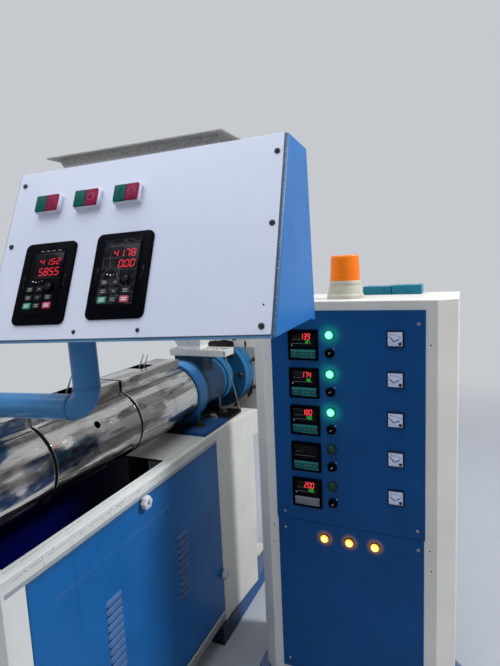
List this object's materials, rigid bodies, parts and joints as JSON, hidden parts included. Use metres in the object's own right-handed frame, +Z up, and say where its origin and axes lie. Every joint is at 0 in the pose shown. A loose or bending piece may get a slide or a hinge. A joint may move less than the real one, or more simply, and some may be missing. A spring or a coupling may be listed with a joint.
{
  "type": "plastic extruder",
  "caption": "Single-screw plastic extruder line: shrouded barrel and hopper on a cream and blue base, swinging operator console and heater cabinet.",
  "frame": {"origin": "on the floor, in the middle of the whole line", "axes": "+Z up; +Y along the barrel, from the die end to the gearbox; the operator stands on the +X side of the barrel and on the -Y side of the cabinet"},
  "size_m": [1.4266, 1.99, 1.937],
  "materials": {
    "cream_paint": "semi-gloss enamel, dusty",
    "blue_paint": "semi-gloss enamel",
    "bright_blue_paint": "gloss enamel",
    "white_paint": "satin powder coat",
    "grey_paint": "dusty enamel",
    "dark_steel": "oily, heat-darkened",
    "stainless": "polished sheet with heat tint",
    "white_plastic": "gloss",
    "black_plastic": "fine grain",
    "black_gloss": "gloss",
    "grey_plastic": "gloss",
    "green_lens": "moulded lens",
    "amber_lens": "moulded lens",
    "cream_plastic": "gloss",
    "teal_plastic": "gloss"
  },
  "bodies": {
    "line": {"base_frame": "cream_paint", "drive_bay_near": "cream_paint", "drive_bay_far": "cream_paint", "side_door_near": "blue_paint", "side_door_far": "blue_paint", "door_knobs_near": "white_plastic", "door_knobs_far": "white_plastic", "end_panel": "blue_paint", "deck_plate": "white_paint", "skid_near": "blue_paint", "skid_far": "blue_paint", "barrel": "dark_steel", "heater_bands": "dark_steel", "shroud_1": "stainless", "shroud_2": "stainless", "shroud_3": "stainless", "feed_housing": "bright_blue_paint", "foot_plate": "bright_blue_paint", "slide_gate": "white_paint", "hopper": "grey_paint", "gearbox_flange": "bright_blue_paint", "gearbox": "cream_paint", "pedestal": "cream_paint", "arm_post": "blue_paint", "cabinet": "cream_paint", "plinth": "blue_paint", "cabinet_panel_upper": "blue_paint", "cabinet_panel_lower": "blue_paint", "controllers": "black_plastic", "ammeters": "grey_plastic", "green_lamps": "green_lens", "amber_lamps": "amber_lens", "selector_rings": "black_plastic", "beacon_base": "cream_plastic", "beacon_lens": "amber_lens", "terminal_box": "teal_plastic"},
    "arm": {"arm_pipe": "blue_paint", "console_box": "blue_paint", "console_panel": "white_paint", "push_buttons": "white_plastic", "keypad_frames": "black_plastic", "keypads": "black_gloss"},
    "selector_1": {"selector_1": "black_plastic"},
    "selector_2": {"selector_2": "black_plastic"},
    "selector_3": {"selector_3": "black_plastic"},
    "selector_4": {"selector_4": "black_plastic"},
    "selector_5": {"selector_5": "black_plastic"}
  },
  "joints": [
    {"name": "arm_swing", "type": "hinge", "parent": "line", "child": "arm", "pos_m": [-0.513, -0.665, 1], "axis": [0, 0, 1], "range_deg": [-60, 12]},
    {"name": "selector_1_turn", "type": "hinge", "parent": "line", "child": "selector_1", "pos_m": [0.332, -0.037, 1.2386], "axis": [0, -1, 0], "range_deg": [0, 90]},
    {"name": "selector_2_turn", "type": "hinge", "parent": "line", "child": "selector_2", "pos_m": [0.332, -0.037, 1.1183], "axis": [0, -1, 0], "range_deg": [0, 90]},
    {"name": "selector_3_turn", "type": "hinge", "parent": "line", "child": "selector_3", "pos_m": [0.332, -0.037, 0.998], "axis": [0, -1, 0], "range_deg": [0, 90]},
    {"name": "selector_4_turn", "type": "hinge", "parent": "line", "child": "selector_4", "pos_m": [0.332, -0.037, 0.8777], "axis": [0, -1, 0], "range_deg": [0, 90]},
    {"name": "selector_5_turn", "type": "hinge", "parent": "line", "child": "selector_5", "pos_m": [0.332, -0.037, 0.7574], "axis": [0, -1, 0], "range_deg": [0, 90]}
  ]
}
